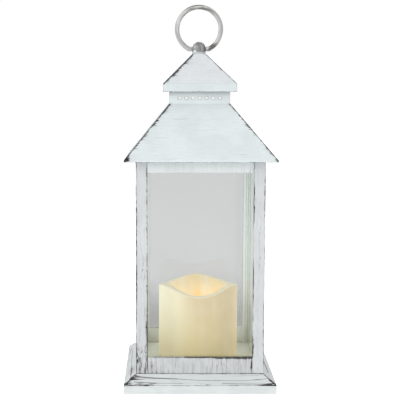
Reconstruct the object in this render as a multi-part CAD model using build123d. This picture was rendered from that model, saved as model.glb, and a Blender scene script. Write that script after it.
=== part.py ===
from build123d import *
import math
import os

# Candle lantern: square plinth, four-post glazed body, hipped roof with a dimpled
# neck, a small pyramid cap with a knob and a swinging ring, and a fixed
# battery candle inside. Millimetres, +Z up, origin at the centre of the foot.

# ------------------------------------------------------------ driving sizes
BASE_W = 139.0        # plinth, over its vertical band
BAND_H = 8.0          # height of the vertical band
DECK_Z = 15.9         # top of the plinth, floor of the glazed body
DECK_T = 2.0          # deck thickness
RIM_T = 3.0           # plinth skirt thickness at the foot

BODY_W = 117.0        # body, over the posts
POST = 10.5           # corner post, width of each leg of its L section
FRAME_T = 4.0         # thickness of the posts' legs and of the rails
POST_TOP = 211.0      # top of the posts and of the top rails
WIN_Z0 = 31.2         # top of the bottom rails
WIN_Z1 = 201.0        # underside of the top rails
EDGE = 0.5            # broken edge on posts and rails

GLASS_T = 1.6         # pane thickness

EAVE_W = 137.6        # roof, over the eaves
EAVE_Z0 = 211.0       # underside of the eave lip
EAVE_Z1 = 212.66      # top of the eave lip
NECK_W = 56.0         # neck
NECK_Z0 = 262.4       # where the roof meets the neck
NECK_WALL = 2.2
VENT_R = 1.5          # round blind dimples that imitate vent holes
VENT_DEPTH = 0.9
VENT_PITCH = 6.17
VENT_N = 7
VENT_Z = 267.6

CAP_W = 67.8          # cap, over its fascia
CAP_Z0 = 273.3        # underside of the cap
CAP_Z1 = 280.6        # top of the fascia
CAP_APEX = 315.0      # where the four slopes would meet
CROWN_Z = 308.3       # flat crown that carries the knob

KNOB_R = 6.4          # domed knob, straight-sided below its centre
KNOB_Z = 313.75       # centre of the dome

RING_R = 20.6         # ring centreline
RING_TUBE = 2.2
RING_Z = 331.8        # centre of the ring at rest
RING_END_X = 9.4      # where the ring's curve stops, each side of the knob
PIN_R = 1.60          # ring's end pins
PIN_BORE = 1.65       # knob's bore, running fit

CANDLE_R = 38.1       # 3 inch pillar
CANDLE_TOP = 92.2
CANDLE_WALL = 3.0
WELL_Z = 64.0         # floor of the candle's well

COVER_Z0 = 1.0        # bottom cover, outside face
COVER_Z1 = 3.4        # bottom cover, inside face
CELL_R = 5.25         # AAA cell
CELL_L = 44.5
BAY_Y = 22.2          # centre of the battery bay
CELL_PITCH = 11.1
CELL_Z = 7.85

SWITCH_Y = -13.0
SWITCH_TRAVEL = 2.0   # each way
DOOR_TRAVEL = 6.8

os.makedirs("parts", exist_ok=True)


def blk(x0, x1, y0, y1, z0, z1):
    return Pos((x0 + x1) / 2, (y0 + y1) / 2, (z0 + z1) / 2) * Box(x1 - x0, y1 - y0, z1 - z0)


def cyl(x, y, z0, z1, r):
    return Pos(x, y, (z0 + z1) / 2) * Cylinder(r, z1 - z0)


def cyl_x(x0, x1, y, z, r):
    return Pos((x0 + x1) / 2, y, z) * Rot(0, 90, 0) * Cylinder(r, x1 - x0)


def cyl_y(x, y0, y1, z, r):
    return Pos(x, (y0 + y1) / 2, z) * Rot(90, 0, 0) * Cylinder(r, y1 - y0)


def frustum(h0, z0, h1, z1):
    a = Pos(0, 0, z0) * Rectangle(2 * h0, 2 * h0)
    b = Pos(0, 0, z1) * Rectangle(2 * h1, 2 * h1)
    return loft([a, b], ruled=True)


def cone(x, y, z0, z1, r0, r1):
    return Pos(x, y, (z0 + z1) / 2) * Cone(r0, r1, z1 - z0)


def solids_of(shape):
    return list(shape.solids())


def write(name, *shapes):
    solids = []
    for s in shapes:
        solids += solids_of(s)
    if len(solids) == 1:
        out = solids[0]
    else:
        out = Compound(children=solids)
    out.label = name
    export_step(out, "parts/%s.step" % name)
    vol = sum(s.volume for s in solids)
    print("%-22s solids %2d  volume %10.1f" % (name, len(solids), vol))


def edges_along(shape, axis, pred=None):
    picked = [e for e in shape.edges().filter_by(axis)]
    if pred:
        picked = [e for e in picked if pred(e.center())]
    return picked


def screw(x, y, z_head, z_tip, head_r=2.6, head_t=1.5, r=1.3, up=True):
    """Pan-head screw: seat at z_head, point at z_tip, with a cross recess."""
    if up:                       # head below, shank rising
        head = cyl(x, y, z_head - head_t, z_head, head_r)
        shank = cyl(x, y, z_head, z_tip - 1.2, r) + cone(x, y, z_tip - 1.2, z_tip, r, 0.35)
        cut_z0, cut_z1 = z_head - head_t - 0.1, z_head - head_t + 0.8
    else:
        head = cyl(x, y, z_head, z_head + head_t, head_r)
        shank = cyl(x, y, z_tip + 1.2, z_head, r) + cone(x, y, z_tip, z_tip + 1.2, 0.35, r)
        cut_z0, cut_z1 = z_head + head_t - 0.8, z_head + head_t + 0.1
    body = head + shank
    body -= blk(x - 1.7, x + 1.7, y - 0.35, y + 0.35, cut_z0, cut_z1)
    body -= blk(x - 0.35, x + 0.35, y - 1.7, y + 1.7, cut_z0, cut_z1)
    return body


HB = BASE_W / 2
HW = BODY_W / 2
HI = HW - POST                 # window edge
HF = HW - FRAME_T              # inner face of posts and rails
HE = EAVE_W / 2
HN = NECK_W / 2
HC = CAP_W / 2
CORNERS = [(sx, sy) for sx in (-1, 1) for sy in (-1, 1)]
POST_C = HF + FRAME_T / 2       # post screws
COVER_SCREW = 48.0
CANDLE_SCREWS = [(-31.0, -6.0), (31.0, -6.0), (0.0, -31.0)]
BOARD_SCREWS = [(-11.0, SWITCH_Y), (11.0, SWITCH_Y)]
LEAD_X = 1.7
LEAD_Y = -4.2

# ------------------------------------------------------------------ plinth
outer = blk(-HB, HB, -HB, HB, 0, BAND_H) + frustum(HB, BAND_H, HW, DECK_Z)
outer = chamfer(edges_along(outer, Axis.Z), 0.7)
slope = (DECK_Z - BAND_H) / (HB - HW)
hi = HB - RIM_T
z_in = 5.1 + RIM_T * slope
h_top = hi - (DECK_Z - DECK_T - z_in) / slope
cavity = blk(-hi, hi, -hi, hi, -1, z_in) + frustum(hi, z_in, h_top, DECK_Z - DECK_T)
plinth = outer - cavity
for sx, sy in CORNERS:
    x, y = sx * COVER_SCREW, sy * COVER_SCREW
    plinth += cyl(x, y, COVER_Z1, DECK_Z - DECK_T + 0.1, 3.2)
    plinth -= cyl(x, y, COVER_Z1 - 0.5, 11.2, 1.35)
    plinth -= cyl(sx * POST_C, sy * POST_C, 10, DECK_Z + 1, 1.2)
    plinth -= cyl(sx * POST_C, sy * POST_C, 11.5, DECK_Z - DECK_T, 2.15)
for x, y in BOARD_SCREWS:
    plinth += cyl(x, y, 10.3, DECK_Z - DECK_T, 2.4)
    plinth -= cyl(x, y, 10.0, 14.6, 1.15)
for x, y in CANDLE_SCREWS:
    plinth -= cyl(x, y, 10, DECK_Z + 1, 1.5)
plinth -= cyl(0, LEAD_Y, 10, DECK_Z + 1, 4.0)
write("plinth", plinth)

# ------------------------------------------------- bottom cover and its door
hc = hi - 0.3
BAY_X = 26.6                                  # tray, half length outside
BAY_H = 18.2                                  # tray, half width outside
DOOR_HX = 24.9
DOOR_Y0, DOOR_Y1 = BAY_Y - 16.5, BAY_Y + 16.5
cover = blk(-hc, hc, -hc, hc, COVER_Z0, COVER_Z1)
cover = chamfer(edges_along(cover, Axis.Z), 1.0)
# mouth of the battery bay, and the shallow recess that the door slides in
cover -= blk(-24.2, 24.2, BAY_Y - 17.0, BAY_Y + 17.0, 0, 5)
cover -= blk(-DOOR_HX - 0.25, DOOR_HX + 0.25, DOOR_Y0 - 0.25, DOOR_Y1 + DOOR_TRAVEL + 0.25, 0, 2.45)
TONGUES = [DOOR_Y0 + 4.0, DOOR_Y1 - 10.0]     # start of each side tongue
for y0 in TONGUES:
    for sx in (-1, 1):
        xa, xb = sorted((sx * DOOR_HX, sx * (DOOR_HX + 1.7)))
        # groove that the tongue runs in, open to the outside only where it drops free
        cover -= blk(xa, xb, y0 - 0.25, y0 + 6.0 + DOOR_TRAVEL + 0.25, 1.55, 2.45)
        cover -= blk(xa, xb, y0 + 6.0 + 0.25, y0 + 6.0 + DOOR_TRAVEL + 0.25, 0, 2.45)
# slot for the switch lever, dished so that a fingernail reaches it
cover -= blk(-4.4, 4.4, SWITCH_Y - 1.9, SWITCH_Y + 1.9, 0, 5)
cover -= blk(-8.0, 8.0, SWITCH_Y - 4.5, SWITCH_Y + 4.5, 0, 2.0)
for sx, sy in CORNERS:
    x, y = sx * COVER_SCREW, sy * COVER_SCREW
    cover -= cyl(x, y, 0, 5, 1.6)
    cover -= cyl(x, y, 0, 2.2, 3.1)
write("bottom_cover", cover)

door = blk(-DOOR_HX, DOOR_HX, DOOR_Y0, DOOR_Y1, COVER_Z0, 2.2)
for y0 in TONGUES:
    for sx in (-1, 1):
        xa, xb = sorted((sx * (DOOR_HX - 0.5), sx * (DOOR_HX + 1.4)))
        door += blk(xa, xb, y0, y0 + 5.6, 1.75, 2.2)
for i in range(5):                            # thumb grip
    y = DOOR_Y0 + 4.0 + 1.8 * i
    door -= blk(-7.0, 7.0, y, y + 0.8, 0.5, COVER_Z0 + 0.45)
write("battery_door", door)

write("cover_screws", *[screw(sx * COVER_SCREW, sy * COVER_SCREW, 2.2, 10.6, 2.7, 1.1, 1.25)
                        for sx, sy in CORNERS])

# ------------------------------------------------------------- battery bay
ty0, ty1 = BAY_Y - BAY_H, BAY_Y + BAY_H
tray = blk(-BAY_X, BAY_X, ty0, ty1, COVER_Z1, 13.8)
tray -= blk(-BAY_X + 1.2, BAY_X - 1.2, ty0 + 1.2, ty1 - 1.2, COVER_Z1 - 1, 13.15)
for s in (-1, 1):                             # ribs that part the cells
    tray += blk(-BAY_X + 1.0, -14.0, BAY_Y + s * CELL_PITCH / 2 - 0.2, BAY_Y + s * CELL_PITCH / 2 + 0.2, 8.9, 13.3)
    tray += blk(14.0, BAY_X - 1.0, BAY_Y + s * CELL_PITCH / 2 - 0.2, BAY_Y + s * CELL_PITCH / 2 + 0.2, 8.9, 13.3)
write("battery_tray", tray)


def cell(x_sign, y):
    """AAA cell along X with its nub at the +x_sign end."""
    can = cyl_x(-CELL_L / 2, CELL_L / 2 - 0.9, y, CELL_Z, CELL_R)
    can = fillet(can.edges().filter_by(GeomType.CIRCLE), 0.5)
    nub = cyl_x(CELL_L / 2 - 0.95, CELL_L / 2, y, CELL_Z, 1.9)
    c = can + nub
    c -= cyl_x(-CELL_L / 2 - 0.1, -CELL_L / 2 + 0.35, y, CELL_Z, 3.2)
    if x_sign < 0:
        c = Pos(0, 2 * y, 0) * Rot(0, 0, 180) * c
    return c


CELLS = [("battery_front", -1, BAY_Y - CELL_PITCH), ("battery_middle", 1, BAY_Y),
         ("battery_rear", -1, BAY_Y + CELL_PITCH)]
springs, plates = [], []
for name, s, y in CELLS:
    write(name, cell(s, y))
    # sprung tongue at the flat end, plain tab at the nub
    xw = BAY_X - 1.2
    px = xw - 0.4
    flat = blk(*sorted((s * px, s * xw)), y - 3.6, y + 3.6, 4.2, 12.6)
    plates.append(flat)
    back = blk(*sorted((-s * px, -s * xw)), y - 3.6, y + 3.6, 4.2, 12.6)
    pts = [(-s * (px + 0.02), 5.0), (-s * (CELL_L / 2 + 0.15), 7.7), (-s * (px + 0.02), 10.6),
           (-s * (px + 0.02), 10.0), (-s * (CELL_L / 2 + 0.65), 7.75), (-s * (px + 0.02), 5.6)]
    prof = Plane.XZ.offset(-(y + 1.8)) * make_face(Polyline(*pts, close=True))
    springs.append(back + extrude(prof, amount=3.6))
write("contact_springs", *springs)
write("contact_plates", *plates)

# -------------------------------------------------- switch, board and leads
sw = blk(-6.5, 6.5, SWITCH_Y - 3.5, SWITCH_Y + 3.5, COVER_Z1, 9.0)
sw -= blk(-5.1, 5.1, SWITCH_Y - 2.3, SWITCH_Y + 2.3, COVER_Z1 - 1, 7.2)
write("switch_body", sw)
lever = blk(-2.8, 2.8, SWITCH_Y - 2.0, SWITCH_Y + 2.0, 3.8, 6.8)
grip = blk(-1.9, 1.9, SWITCH_Y - 1.55, SWITCH_Y + 1.55, 0.45, 3.9)
for i in (-1, 0, 1):
    grip -= blk(i * 1.1 - 0.2, i * 1.1 + 0.2, SWITCH_Y - 2, SWITCH_Y + 2, 0.3, 0.8)
write("switch_slider", lever + grip)

board = blk(-15, 15, SWITCH_Y - 9.5, SWITCH_Y + 9.5, 9.0, 10.3)
for x, y in BOARD_SCREWS:
    board -= cyl(x, y, 8, 11, 1.2)
write("circuit_board", board)
write("board_components",
      blk(-3.0, 3.0, SWITCH_Y - 1.5, SWITCH_Y + 3.0, 10.3, 12.0),
      blk(4.6, 7.8, SWITCH_Y - 7.5, SWITCH_Y - 5.9, 10.3, 11.2),
      blk(-7.8, -4.6, SWITCH_Y - 7.5, SWITCH_Y - 5.9, 10.3, 11.2),
      cyl(0, SWITCH_Y - 6.4, 10.3, 13.4, 2.0))
write("board_screws", *[screw(x, y, 9.0, 14.2, 2.0, 1.1, 1.05) for x, y in BOARD_SCREWS])

leads = []
for s in (-1, 1):                             # board to the candle's lamp
    leads.append(cyl(s * LEAD_X, LEAD_Y, 10.3, 52.0, 0.6))
write("lamp_leads", *leads)
feeds = []
for s in (-1, 1):                             # battery bay to board, soldered down at the board
    wire = cyl_y(s * 12.5, ty0 - 9.0, ty0, 11.5, 0.6)
    wire += cyl(s * 12.5, ty0 - 9.0, 10.3, 12.4, 0.95)
    feeds.append(wire)
write("battery_leads", *feeds)

# ------------------------------------------------------- posts, rails, glass
for (sx, sy), name in zip(CORNERS, ["post_front_left", "post_rear_left", "post_front_right", "post_rear_right"]):
    x0, x1 = sorted((sx * HI, sx * HW))
    y0, y1 = sorted((sy * HI, sy * HW))
    xf0, xf1 = sorted((sx * HF, sx * HW))
    yf0, yf1 = sorted((sy * HF, sy * HW))
    p = blk(x0, x1, yf0, yf1, DECK_Z, POST_TOP) + blk(xf0, xf1, y0, y1, DECK_Z, POST_TOP)
    p = chamfer(edges_along(p, Axis.Z, lambda c: max(abs(c.X), abs(c.Y)) > HW - 0.1), EDGE)
    p -= cyl(sx * POST_C, sy * POST_C, DECK_Z - 1, 25.5, 1.0)
    p -= cyl(sx * POST_C, sy * POST_C, POST_TOP - 9.6, POST_TOP + 1, 1.0)
    write(name, p)


def rail_x(sy, z0, z1):
    y0, y1 = sorted((sy * HF, sy * HW))
    r = blk(-HI, HI, y0, y1, z0, z1)
    return chamfer(edges_along(r, Axis.X) + edges_along(r, Axis.Z, lambda c: abs(c.Y) > HW - 1), EDGE)


def rail_y(sx, z0, z1):
    x0, x1 = sorted((sx * HF, sx * HW))
    r = blk(x0, x1, -HI, HI, z0, z1)
    return chamfer(edges_along(r, Axis.Y) + edges_along(r, Axis.Z, lambda c: abs(c.X) > HW - 1), EDGE)


write("bottom_rail_front", rail_x(-1, DECK_Z, WIN_Z0))
write("bottom_rail_rear", rail_x(1, DECK_Z, WIN_Z0))
write("bottom_rail_left", rail_y(-1, DECK_Z, WIN_Z0))
write("bottom_rail_right", rail_y(1, DECK_Z, WIN_Z0))
write("top_rail_front", rail_x(-1, WIN_Z1, POST_TOP))
write("top_rail_rear", rail_x(1, WIN_Z1, POST_TOP))
write("top_rail_left", rail_y(-1, WIN_Z1, POST_TOP))
write("top_rail_right", rail_y(1, WIN_Z1, POST_TOP))

gz0, gz1 = DECK_Z + 0.1, POST_TOP - 0.1
hg = HF - 0.05
gi = hg - GLASS_T


def pane(x0, x1, y0, y1):
    g = blk(x0, x1, y0, y1, gz0, gz1)
    return chamfer(edges_along(g, Axis.Z), 0.2)


write("glass_front", pane(-gi + 0.1, gi - 0.1, -hg, -gi))
write("glass_rear", pane(-gi + 0.1, gi - 0.1, gi, hg))
write("glass_left", pane(-hg, -gi, -hg, hg))
write("glass_right", pane(gi, hg, -hg, hg))
write("post_base_screws", *[screw(sx * POST_C, sy * POST_C, DECK_Z - DECK_T, 24.5, 1.9, 1.2, 0.95)
                            for sx, sy in CORNERS])

# -------------------------------------------------------- ceiling and roof
CEIL_T = 1.8
hp = HE - 3.5
ceiling = blk(-hp, hp, -hp, hp, POST_TOP, POST_TOP + CEIL_T)
for sx, sy in CORNERS:
    ceiling -= cyl(sx * POST_C, sy * POST_C, POST_TOP - 1, POST_TOP + CEIL_T + 1, 1.2)
write("ceiling_plate", ceiling)
write("post_top_screws", *[screw(sx * POST_C, sy * POST_C, POST_TOP + CEIL_T, POST_TOP - 8.6, 1.9, 1.2, 0.95, up=False)
                           for sx, sy in CORNERS])

roof = blk(-HE, HE, -HE, HE, EAVE_Z0, EAVE_Z1) + frustum(HE, EAVE_Z1, HN, NECK_Z0)
hips = [e for e in roof.edges() if (e @ 0).Z > EAVE_Z0 - 0.1 and abs((e @ 0).Z - (e @ 1).Z) > 1.0]
roof = fillet(hips, 0.6)
z_l = POST_TOP + CEIL_T
run = (HE - HN) / (NECK_Z0 - EAVE_Z1)
off = 3.2
h_a = HE - off
h_b = HN - off
z_b = NECK_Z0
roof -= blk(-hp - 0.15, hp + 0.15, -hp - 0.15, hp + 0.15, EAVE_Z0 - 1, z_l + 0.05)
roof -= frustum(h_a - (z_l - EAVE_Z1) * run, z_l, h_b + 0.0, z_b)
roof -= blk(-HN + 3.25, HN - 3.25, -HN + 3.25, HN - 3.25, NECK_Z0 - 8, NECK_Z0 + 1)
write("roof_shell", roof)

# -------------------------------------------------------------------- neck
NECK_Z1 = CAP_Z0 + 3.4
neck = blk(-HN, HN, -HN, HN, NECK_Z0, NECK_Z1)
neck = fillet(edges_along(neck, Axis.Z), 0.5)
hs = HN - 3.4
neck += blk(-hs, hs, -hs, hs, NECK_Z0 - 5.0, NECK_Z0 + 0.5)
ni = HN - NECK_WALL
neck -= blk(-ni, ni, -ni, ni, NECK_Z0 + 1.6, NECK_Z1 + 1)
nj = hs - 2.0
neck -= blk(-nj, nj, -nj, nj, NECK_Z0 - 6, NECK_Z0 + 2)
for i in range(VENT_N):
    p = (i - (VENT_N - 1) / 2) * VENT_PITCH
    for s in (-1, 1):                         # each dimple with a shallow dish round it
        neck -= cyl_y(p, *sorted((s * (HN - VENT_DEPTH), s * (HN + 1))), VENT_Z, VENT_R)
        neck -= cyl_x(*sorted((s * (HN - VENT_DEPTH), s * (HN + 1))), p, VENT_Z, VENT_R)
        neck -= cyl_y(p, *sorted((s * (HN - 0.35), s * (HN + 1))), VENT_Z, VENT_R + 0.65)
        neck -= cyl_x(*sorted((s * (HN - 0.35), s * (HN + 1))), p, VENT_Z, VENT_R + 0.65)
write("vent_neck", neck)

# --------------------------------------------------------------------- cap
k = HC / (CAP_APEX - CAP_Z1)
h_crown = k * (CAP_APEX - CROWN_Z)
cap = blk(-HC, HC, -HC, HC, CAP_Z0, CAP_Z1) + frustum(HC, CAP_Z1, h_crown, CROWN_Z)
hips = [e for e in cap.edges() if abs((e @ 0).Z - (e @ 1).Z) > 1.0]
cap = fillet(hips, 0.6)
t = 2.2
apex_in = CAP_APEX - t * math.sqrt(1 + k * k) / k
z_soffit = CAP_Z0 + 2.0
roof_in = CROWN_Z - 4.6
hf = HC - t
z_k = apex_in - hf / k
cap -= blk(-hf, hf, -hf, hf, z_soffit, z_k) + frustum(hf, z_k, k * (apex_in - roof_in), roof_in)
cap -= blk(-HN - 0.12, HN + 0.12, -HN - 0.12, HN + 0.12, CAP_Z0 - 1, z_soffit + 0.5)
cap -= cyl(0, 0, roof_in - 1, CROWN_Z + 1, 2.6)
write("cap", cap)

# --------------------------------------------------------- knob and handle
ring_zp = RING_Z - math.sqrt(RING_R ** 2 - RING_END_X ** 2)      # swing axis
dome = Pos(0, 0, KNOB_Z) * Sphere(KNOB_R) - blk(-8, 8, -8, 8, KNOB_Z - 8, KNOB_Z)
knob = dome + cyl(0, 0, CROWN_Z, KNOB_Z, KNOB_R)
knob += cyl(0, 0, roof_in + 0.1, CROWN_Z + 0.5, 2.5)
knob -= cyl_x(-8, 8, 0, ring_zp, PIN_BORE)
knob -= cyl(0, 0, roof_in - 1, CROWN_Z + 0.9, 1.1)
write("knob", knob)
write("knob_washer", cyl(0, 0, roof_in - 0.8, roof_in, 4.6) - cyl(0, 0, roof_in - 2, roof_in + 1, 1.3))
write("knob_screw", screw(0, 0, roof_in - 0.8, CROWN_Z + 0.4, 2.6, 1.5, 1.0))

alpha = math.degrees(math.asin(RING_END_X / RING_R))
sec = Pos(RING_R, 0, 0) * Circle(RING_TUBE)
arc = revolve(sec, axis=Axis((0, 0, 0), (0, 1, 0)), revolution_arc=360 - 2 * alpha)
ring = Pos(0, 0, RING_Z) * Rot(0, 90 + alpha, 0) * arc
for s in (-1, 1):
    ring += cyl_x(*sorted((s * (KNOB_R + 0.3), s * RING_END_X)), 0, ring_zp, RING_TUBE)
    ring += Pos(s * RING_END_X, 0, ring_zp) * Sphere(RING_TUBE)
    ring += cyl_x(*sorted((s * 2.6, s * (KNOB_R + 0.5))), 0, ring_zp, PIN_R)
write("handle_ring", ring)
print("ring axis z", round(ring_zp, 3), "alpha", round(alpha, 2), "ring box", ring.bounding_box().min, ring.bounding_box().max)

# ------------------------------------------------------------------ candle
c = cyl(0, 0, DECK_Z, CANDLE_TOP, CANDLE_R)


def rim_cut(points, y0, y1):
    """Everything above a wavy line, between two depths."""
    top = CANDLE_TOP + 3
    sp = Spline(*[(x, z) for x, z in points])
    a, b = points[0], points[-1]
    loop = sp + Polyline((b[0], b[1]), (b[0], top), (a[0], top), (a[0], a[1]))
    face = Plane.XZ.offset(-y1) * make_face(loop)
    return extrude(face, amount=y1 - y0)


front_half = [(0, 83.1), (9.9, 84.1), (19, 87.0), (27, 90.2), (33, 91.4), (38, 88.6), (41, 86.5)]
rear_half = [(0, 92.1), (10, 91.2), (19, 88.8), (27, 86.8), (33, 86.3), (38, 88.2), (41, 89.5)]
front_line = [(-x, z) for x, z in reversed(front_half[1:])] + front_half
rear_line = [(-x, z) for x, z in reversed(rear_half[1:])] + rear_half
c -= rim_cut(front_line, -CANDLE_R - 2, 0)
c -= rim_cut(rear_line, 0, CANDLE_R + 2)
c -= cyl(0, 0, WELL_Z, CANDLE_TOP + 1, CANDLE_R - CANDLE_WALL)
c -= cyl(0, 0, DECK_Z - 1, WELL_Z - 3.0, CANDLE_R - 2.6)
c -= cyl(0, 0, WELL_Z - 6, WELL_Z + 1, 6.1)
write("candle_shell", c)
bp = cyl(0, 0, DECK_Z, DECK_Z + 2.4, CANDLE_R - 2.75)
bp -= cyl(0, LEAD_Y, DECK_Z - 1, DECK_Z + 4, 4.0)
for x, y in CANDLE_SCREWS:
    bp += cyl(x, y, DECK_Z + 2.0, DECK_Z + 8.0, 2.9)
    bp -= cyl(x, y, DECK_Z - 1, DECK_Z + 7.4, 1.35)
write("candle_base_plate", bp)
write("candle_screws", *[screw(x, y, DECK_Z - DECK_T, DECK_Z + 6.4) for x, y in CANDLE_SCREWS])
holder = cyl(0, 0, 52.0, WELL_Z + 0.6, 6.0) + cyl(0, 0, 58.6, WELL_Z - 3.0, 9.0)
holder -= cyl(0, 0, 56.0, WELL_Z + 2, 3.1)
write("lamp_holder", holder)
lamp = cyl(0, 0, 57.5, 71.0, 2.9) + Pos(0, 0, 71.0) * Sphere(2.9)
write("lamp", lamp)
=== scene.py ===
import math

import bmesh
import bpy
import numpy as np
from mathutils import Matrix, Vector


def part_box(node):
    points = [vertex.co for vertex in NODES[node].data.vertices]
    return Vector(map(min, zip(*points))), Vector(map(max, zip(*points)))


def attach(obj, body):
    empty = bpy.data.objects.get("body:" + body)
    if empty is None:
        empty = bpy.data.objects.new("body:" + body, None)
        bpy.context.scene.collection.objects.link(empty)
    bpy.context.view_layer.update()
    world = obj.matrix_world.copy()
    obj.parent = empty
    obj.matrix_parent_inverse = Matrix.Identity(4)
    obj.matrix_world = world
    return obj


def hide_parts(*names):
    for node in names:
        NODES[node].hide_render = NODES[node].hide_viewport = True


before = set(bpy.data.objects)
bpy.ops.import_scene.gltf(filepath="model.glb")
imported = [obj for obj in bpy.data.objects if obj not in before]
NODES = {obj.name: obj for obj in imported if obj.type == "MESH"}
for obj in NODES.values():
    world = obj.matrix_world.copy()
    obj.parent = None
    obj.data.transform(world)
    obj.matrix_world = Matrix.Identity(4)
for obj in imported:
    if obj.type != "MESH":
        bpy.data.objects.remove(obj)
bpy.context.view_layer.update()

MM = 1000.0


def mm_box(node):
    lo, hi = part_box(node)
    return [v * MM for v in lo], [v * MM for v in hi]


# --------------------------------------------------------------------------
# A small helper for building node trees
# --------------------------------------------------------------------------
class Tree:
    def __init__(self, name):
        self.mat = bpy.data.materials.new(name)
        self.mat.use_nodes = True
        self.nt = self.mat.node_tree
        self.nt.nodes.clear()
        self.out = self.nt.nodes.new("ShaderNodeOutputMaterial")
        self.cache = {}

    def put(self, socket, value):
        if value is None:
            return
        if isinstance(value, bpy.types.NodeSocket):
            self.nt.links.new(value, socket)
        elif isinstance(value, (tuple, list)) and len(value) == 3 and socket.type == "RGBA":
            socket.default_value = (*value, 1.0)
        else:
            socket.default_value = value

    def m(self, op, a, b=None, c=None, clamp=False):
        n = self.nt.nodes.new("ShaderNodeMath")
        n.operation = op
        n.use_clamp = clamp
        self.put(n.inputs[0], a)
        if b is not None:
            self.put(n.inputs[1], b)
        if c is not None:
            self.put(n.inputs[2], c)
        return n.outputs[0]

    def add(self, *xs):
        s = xs[0]
        for x in xs[1:]:
            s = self.m("ADD", s, x)
        return s

    def mul(self, *xs):
        s = xs[0]
        for x in xs[1:]:
            s = self.m("MULTIPLY", s, x)
        return s

    def sub(self, a, b):
        return self.m("SUBTRACT", a, b)

    def vm(self, op, a, b=None, scale=None):
        n = self.nt.nodes.new("ShaderNodeVectorMath")
        n.operation = op
        self.put(n.inputs[0], a)
        if b is not None:
            self.put(n.inputs[1], b)
        if scale is not None:
            self.put(n.inputs["Scale"], scale)
        return n.outputs["Value"] if op in ("LENGTH", "DISTANCE", "DOT_PRODUCT") else n.outputs[0]

    def xyz(self, v):
        n = self.nt.nodes.new("ShaderNodeSeparateXYZ")
        self.put(n.inputs[0], v)
        return n.outputs[0], n.outputs[1], n.outputs[2]

    def vec(self, x, y, z):
        n = self.nt.nodes.new("ShaderNodeCombineXYZ")
        for s, v in zip(n.inputs, (x, y, z)):
            self.put(s, v)
        return n.outputs[0]

    def P(self):
        """The point in millimetres, in the piece's own rest frame."""
        if "P" not in self.cache:
            tc = self.nt.nodes.new("ShaderNodeTexCoord")
            self.cache["P"] = self.vm("SCALE", tc.outputs["Object"], scale=MM)
            self.cache["N"] = tc.outputs["Normal"]
        return self.cache["P"]

    def normal(self):
        self.P()
        return self.cache["N"]

    def noise(self, v, scale=1.0, detail=3.0, rough=0.55, distort=0.0, color=False):
        n = self.nt.nodes.new("ShaderNodeTexNoise")
        self.put(n.inputs["Vector"], v)
        n.inputs["Scale"].default_value = scale
        n.inputs["Detail"].default_value = detail
        n.inputs["Roughness"].default_value = rough
        n.inputs["Distortion"].default_value = distort
        return n.outputs["Color"] if color else n.outputs[0]

    def step(self, x, lo, hi, to0=0.0, to1=1.0):
        """Smooth step of x from lo to hi."""
        n = self.nt.nodes.new("ShaderNodeMapRange")
        n.interpolation_type = "SMOOTHSTEP"
        self.put(n.inputs["Value"], x)
        self.put(n.inputs["From Min"], lo)
        self.put(n.inputs["From Max"], hi)
        self.put(n.inputs["To Min"], to0)
        self.put(n.inputs["To Max"], to1)
        return n.outputs[0]

    def mix(self, fac, a, b, blend="MIX"):
        n = self.nt.nodes.new("ShaderNodeMix")
        n.data_type = "RGBA"
        n.blend_type = blend
        n.clamp_factor = True
        self.put(n.inputs[0], fac)
        ins = [s for s in n.inputs if s.type == "RGBA"]
        self.put(ins[0], a)
        self.put(ins[1], b)
        return [s for s in n.outputs if s.type == "RGBA"][0]

    def bump(self, height, strength, distance):
        n = self.nt.nodes.new("ShaderNodeBump")
        n.inputs["Strength"].default_value = strength
        n.inputs["Distance"].default_value = distance
        self.put(n.inputs["Height"], height)
        return n.outputs[0]

    def principled(self, **kw):
        b = self.nt.nodes.new("ShaderNodeBsdfPrincipled")
        for key, value in kw.items():
            self.put(b.inputs[key.replace("_", " ")], value)
        self.nt.links.new(b.outputs[0], self.out.inputs["Surface"])
        return b

    # ---- distances, in mm, to the edges of simple forms
    def near(self, c, *values):
        d = None
        for v in values:
            e = self.m("ABSOLUTE", self.sub(c, v))
            d = e if d is None else self.m("MINIMUM", d, e)
        return d

    def two_edge(self, da, db):
        return self.m("SQRT", self.add(self.mul(da, da), self.mul(db, db)))

    def box_edges(self, lo, hi):
        """Distance to the nearest of a box's twelve edges."""
        x, y, z = self.xyz(self.P())
        dx, dy, dz = self.near(x, lo[0], hi[0]), self.near(y, lo[1], hi[1]), self.near(z, lo[2], hi[2])
        sq = [self.mul(d, d) for d in (dx, dy, dz)]
        top = self.m("MAXIMUM", self.m("MAXIMUM", sq[0], sq[1]), sq[2])
        return self.m("SQRT", self.m("MAXIMUM", self.sub(self.add(*sq), top), 0.0))

    def along(self):
        """Horizontal position along a face, whichever way that face looks."""
        if "along" not in self.cache:
            x, y, z = self.xyz(self.P())
            nx, ny, nz = self.xyz(self.normal())
            side = self.m("GREATER_THAN", self.m("ABSOLUTE", nx), self.m("ABSOLUTE", ny))
            a = self.add(self.mul(y, side), self.mul(x, self.sub(1.0, side)))
            depth = self.add(self.mul(x, side), self.mul(y, self.sub(1.0, side)))
            self.cache["along"] = (a, depth, z, side)
        return self.cache["along"]


def assign(node, mat):
    o = NODES[node]
    if not o.material_slots:
        o.data.materials.append(mat)
    for s in o.material_slots:
        s.link = "OBJECT"
        s.material = mat


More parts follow.
